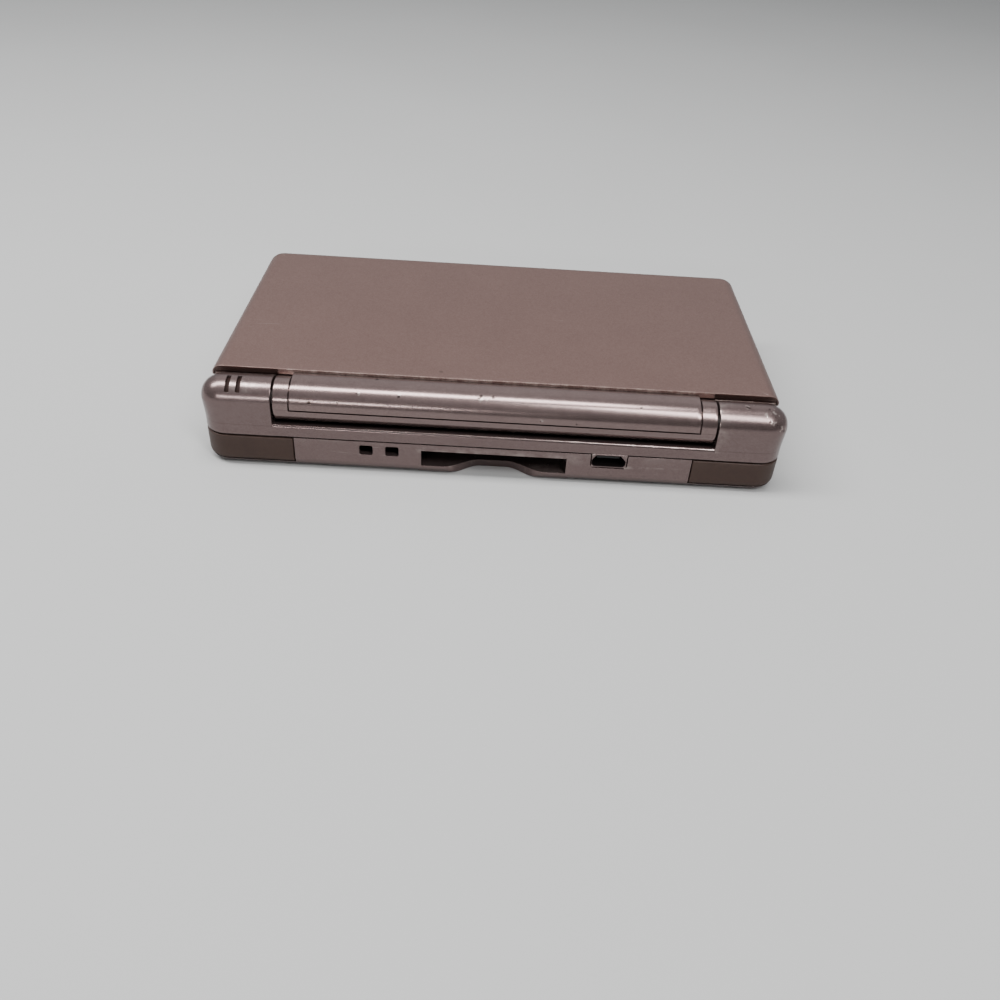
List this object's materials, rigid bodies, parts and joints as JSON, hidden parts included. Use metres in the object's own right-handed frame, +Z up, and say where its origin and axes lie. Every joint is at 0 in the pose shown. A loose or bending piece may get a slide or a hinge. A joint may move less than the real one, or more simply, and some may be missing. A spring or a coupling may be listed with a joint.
{
  "type": "clamshell handheld game console",
  "caption": "Pocket game console with a folding lid on a rear barrel hinge, a screen in each half, rear shoulder buttons, card slots, sliders and a stored stylus.",
  "frame": {"origin": "bottom centre of the closed console, on the surface that it lies on", "axes": "+X towards the player's right hand, +Y towards the hinge at the rear, +Z up through the lid"},
  "size_m": [0.133, 0.0738, 0.0215],
  "materials": {
    "shell": "satin rose metallic coating, worn at the edges",
    "barrel": "bright satin rose metallic coating",
    "trigger": "matt brown plastic",
    "button": "satin rose plastic",
    "black_plastic": "satin black",
    "screen": "clear dark cover",
    "steel": "plain",
    "rubber": "matt",
    "key_mat": "grey silicone",
    "board": "green solder mask",
    "battery_wrap": "grey",
    "flex": "amber film",
    "light_pipe": "smoked clear plastic"
  },
  "bodies": {
    "base": {"bottom_case": "shell", "base_cover": "shell", "battery_cover": "shell", "battery": "battery_wrap", "battery_cover_screw": "steel", "case_screw_1": "steel", "case_screw_2": "steel", "case_screw_3": "steel", "case_screw_4": "steel", "main_board": "board", "wireless_module": "steel", "card_slot_cage": "steel", "card_spring": "steel", "cartridge_slot": "black_plastic", "charge_socket": "black_plastic", "headphone_jack": "black_plastic", "touch_panel": "screen", "lower_display": "black_plastic", "pad_mat": "key_mat", "face_button_mat": "key_mat", "menu_button_mat": "key_mat", "left_trigger_pin": "steel", "right_trigger_pin": "steel", "left_trigger_spring": "steel", "right_trigger_spring": "steel", "power_light": "light_pipe", "charge_light": "light_pipe", "power_switch": "steel", "volume_switch": "steel", "hinge_pin": "steel"},
    "lid": {"lid_outer_shell": "shell", "lid_inner_shell": "shell", "barrel_cover": "barrel", "upper_window": "screen", "upper_display": "black_plastic", "left_speaker": "black_plastic", "right_speaker": "black_plastic", "left_lid_pad": "rubber", "right_lid_pad": "rubber", "left_lid_screw": "steel", "right_lid_screw": "steel", "antenna": "flex", "hinge_clutch": "steel", "display_cable": "flex", "microphone": "steel"},
    "pad_rocker": {"pad_rocker": "black_plastic"},
    "direction_pad": {"direction_pad": "button"},
    "face_button_top": {"face_button_top": "button"},
    "face_button_right": {"face_button_right": "button"},
    "face_button_bottom": {"face_button_bottom": "button"},
    "face_button_left": {"face_button_left": "button"},
    "start_button": {"start_button": "button"},
    "select_button": {"select_button": "button"},
    "left_trigger": {"left_trigger": "trigger"},
    "right_trigger": {"right_trigger": "trigger"},
    "power_slider": {"power_slider": "button"},
    "volume_slider": {"volume_slider": "button"},
    "stylus": {"stylus": "black_plastic"},
    "card_carriage": {"card_carriage": "black_plastic"},
    "slot_cover": {"slot_cover": "shell"}
  },
  "joints": [
    {"name": "lid_hinge", "type": "hinge", "parent": "base", "child": "lid", "pos_m": [0, 0.032, 0.0157], "axis": [-1, 0, 0], "range_deg": [0, 155]},
    {"name": "pad_tilt_up_down", "type": "hinge", "parent": "base", "child": "pad_rocker", "pos_m": [-0.0495, 0.002, 0.0092], "axis": [1, 0, 0], "range_deg": [-3, 3], "stiffness_Nm_per_rad": 0.05},
    {"name": "pad_tilt_left_right", "type": "hinge", "parent": "pad_rocker", "child": "direction_pad", "pos_m": [-0.0495, 0.002, 0.0092], "axis": [0, 1, 0], "range_deg": [-3, 3], "stiffness_Nm_per_rad": 0.05},
    {"name": "face_button_top_press", "type": "slide", "parent": "base", "child": "face_button_top", "axis": [0, 0, -1], "range_m": [0, 0.0007], "stiffness_N_per_m": 300},
    {"name": "face_button_right_press", "type": "slide", "parent": "base", "child": "face_button_right", "axis": [0, 0, -1], "range_m": [0, 0.0007], "stiffness_N_per_m": 300},
    {"name": "face_button_bottom_press", "type": "slide", "parent": "base", "child": "face_button_bottom", "axis": [0, 0, -1], "range_m": [0, 0.0007], "stiffness_N_per_m": 300},
    {"name": "face_button_left_press", "type": "slide", "parent": "base", "child": "face_button_left", "axis": [0, 0, -1], "range_m": [0, 0.0007], "stiffness_N_per_m": 300},
    {"name": "start_button_press", "type": "slide", "parent": "base", "child": "start_button", "axis": [0, 0, -1], "range_m": [0, 0.0004], "stiffness_N_per_m": 300},
    {"name": "select_button_press", "type": "slide", "parent": "base", "child": "select_button", "axis": [0, 0, -1], "range_m": [0, 0.0004], "stiffness_N_per_m": 300},
    {"name": "left_trigger_press", "type": "hinge", "parent": "base", "child": "left_trigger", "pos_m": [-0.0606, 0.0328, 0.0048], "axis": [0, 0, -1], "range_deg": [0, 4], "stiffness_Nm_per_rad": 0.1},
    {"name": "right_trigger_press", "type": "hinge", "parent": "base", "child": "right_trigger", "pos_m": [0.0606, 0.0328, 0.0048], "axis": [0, 0, 1], "range_deg": [0, 4], "stiffness_Nm_per_rad": 0.1},
    {"name": "power_slide", "type": "slide", "parent": "base", "child": "power_slider", "axis": [0, 1, 0], "range_m": [0, 0.0025], "stiffness_N_per_m": 150},
    {"name": "volume_slide", "type": "slide", "parent": "base", "child": "volume_slider", "axis": [1, 0, 0], "range_m": [0, 0.006]},
    {"name": "stylus_pull", "type": "slide", "parent": "base", "child": "stylus", "axis": [1, 0, 0], "range_m": [0, 0.088]},
    {"name": "card_push", "type": "slide", "parent": "base", "child": "card_carriage", "axis": [0, -1, 0], "range_m": [0, 0.003], "stiffness_N_per_m": 150},
    {"name": "slot_cover_pull", "type": "slide", "parent": "base", "child": "slot_cover", "axis": [0, -1, 0], "range_m": [0, 0.012]}
  ]
}
